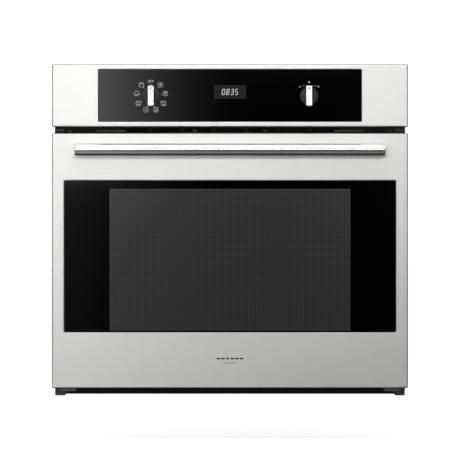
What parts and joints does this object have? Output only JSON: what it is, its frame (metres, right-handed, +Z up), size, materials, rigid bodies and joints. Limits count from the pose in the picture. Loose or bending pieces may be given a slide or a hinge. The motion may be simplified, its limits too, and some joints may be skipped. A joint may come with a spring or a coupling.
{
  "type": "wall oven",
  "caption": "Built-in single electric wall oven with a drop-down glazed door, bar handle, two dial knobs, clock display, wire racks, heaters, fans and casing.",
  "frame": {"origin": "under the middle of the oven's box, on the surface that it stands on", "axes": "+Z up, -Y out of the face of the oven towards the person in front of it, +X to that person's right"},
  "size_m": [0.756, 0.648, 0.705],
  "materials": {
    "stainless": "fine horizontal brushed grain",
    "galvanised": "zinc-coated sheet with a dull spangle",
    "black_steel": "black powder coat",
    "dark_trim": "dark grey satin coat",
    "enamel": "glossy vitreous enamel with fine pale specks",
    "black_glass": "glossy black-printed glass",
    "clear_glass": "clear heat-resistant glass",
    "black_plastic": "fine-textured black moulding",
    "wool": "matted mineral fibre",
    "gasket": "woven glass-fibre cord",
    "chrome_wire": "bright plated wire",
    "heater": "heat-dulled sheath",
    "ceramic": "unglazed cream ceramic",
    "aluminium": "plain pressed sheet",
    "circuit": "green solder resist"
  },
  "bodies": {
    "root": {"front_frame": "black_steel", "left_side_panel": "galvanised", "right_side_panel": "galvanised", "top_cover": "galvanised", "rear_panel": "galvanised", "base_pan": "galvanised", "bottom_trim": "black_steel", "left_trim_foot": "dark_trim", "right_trim_foot": "dark_trim", "left_hinge_bracket": "galvanised", "right_hinge_bracket": "galvanised", "oven_cavity": "enamel", "insulation_jacket": "wool", "door_gasket": "gasket", "left_rack_ladder": "chrome_wire", "right_rack_ladder": "chrome_wire", "fan_baffle": "enamel", "convection_element": "heater", "broil_element": "heater", "bake_element": "heater", "lamp_lens": "clear_glass", "lamp_holder": "ceramic", "temperature_sensor": "stainless", "convection_motor": "galvanised", "blower_housing": "galvanised", "cooling_motor": "galvanised", "air_duct": "galvanised", "vent_trim": "black_plastic", "control_fascia": "stainless", "control_glass": "black_glass", "control_carrier": "black_plastic", "display_module": "black_plastic", "control_board": "circuit", "function_switch": "black_plastic", "value_encoder": "black_plastic", "power_board": "circuit", "terminal_block": "ceramic", "cable_gland": "black_plastic"},
    "door": {"door_outer_panel": "stainless", "door_outer_glass": "black_glass", "glass_carrier": "galvanised", "door_middle_glass": "clear_glass", "door_inner_glass": "clear_glass", "door_inner_frame": "enamel", "door_top_trim": "black_steel", "handle_bar": "stainless", "left_handle_cap": "stainless", "left_handle_post": "stainless", "left_hinge_channel": "galvanised", "right_handle_cap": "stainless", "right_handle_post": "stainless", "right_hinge_channel": "galvanised"},
    "lower_rack": {"lower_rack": "chrome_wire"},
    "upper_rack": {"upper_rack": "chrome_wire"},
    "function_knob": {"function_knob_base": "black_plastic", "function_knob_blade": "stainless"},
    "value_knob": {"value_knob_base": "black_plastic", "value_knob_blade": "stainless"},
    "convection_fan": {"convection_fan": "aluminium"},
    "cooling_rotor": {"cooling_rotor": "aluminium"}
  },
  "joints": [
    {"name": "door_hinge", "type": "hinge", "parent": "root", "child": "door", "pos_m": [0, -0.252, 0.03], "axis": [1, 0, 0], "range_deg": [0, 90], "stiffness_Nm_per_rad": 13, "springref_deg": -17.19},
    {"name": "lower_rack_slide", "type": "slide", "parent": "root", "child": "lower_rack", "axis": [0, -1, 0], "range_m": [0, 0.24]},
    {"name": "upper_rack_slide", "type": "slide", "parent": "root", "child": "upper_rack", "axis": [0, -1, 0], "range_m": [0, 0.24]},
    {"name": "function_knob_turn", "type": "hinge", "parent": "root", "child": "function_knob", "pos_m": [-0.168, -0.268, 0.637], "axis": [0, 1, 0], "continuous": true},
    {"name": "value_knob_turn", "type": "hinge", "parent": "root", "child": "value_knob", "pos_m": [0.168, -0.268, 0.637], "axis": [0, 1, 0], "range_deg": [-40, 40], "stiffness_Nm_per_rad": 0.05},
    {"name": "convection_fan_spin", "type": "hinge", "parent": "root", "child": "convection_fan", "pos_m": [0, 0.184, 0.285], "axis": [0, 1, 0], "continuous": true},
    {"name": "cooling_rotor_spin", "type": "hinge", "parent": "root", "child": "cooling_rotor", "pos_m": [0, 0.17, 0.59], "axis": [1, 0, 0], "continuous": true}
  ],
  "couplings": [
    {"joint": "lower_rack_slide", "follows": "door_hinge", "m_per_rad": 0.15},
    {"joint": "upper_rack_slide", "follows": "door_hinge", "m_per_rad": 0.15}
  ]
}
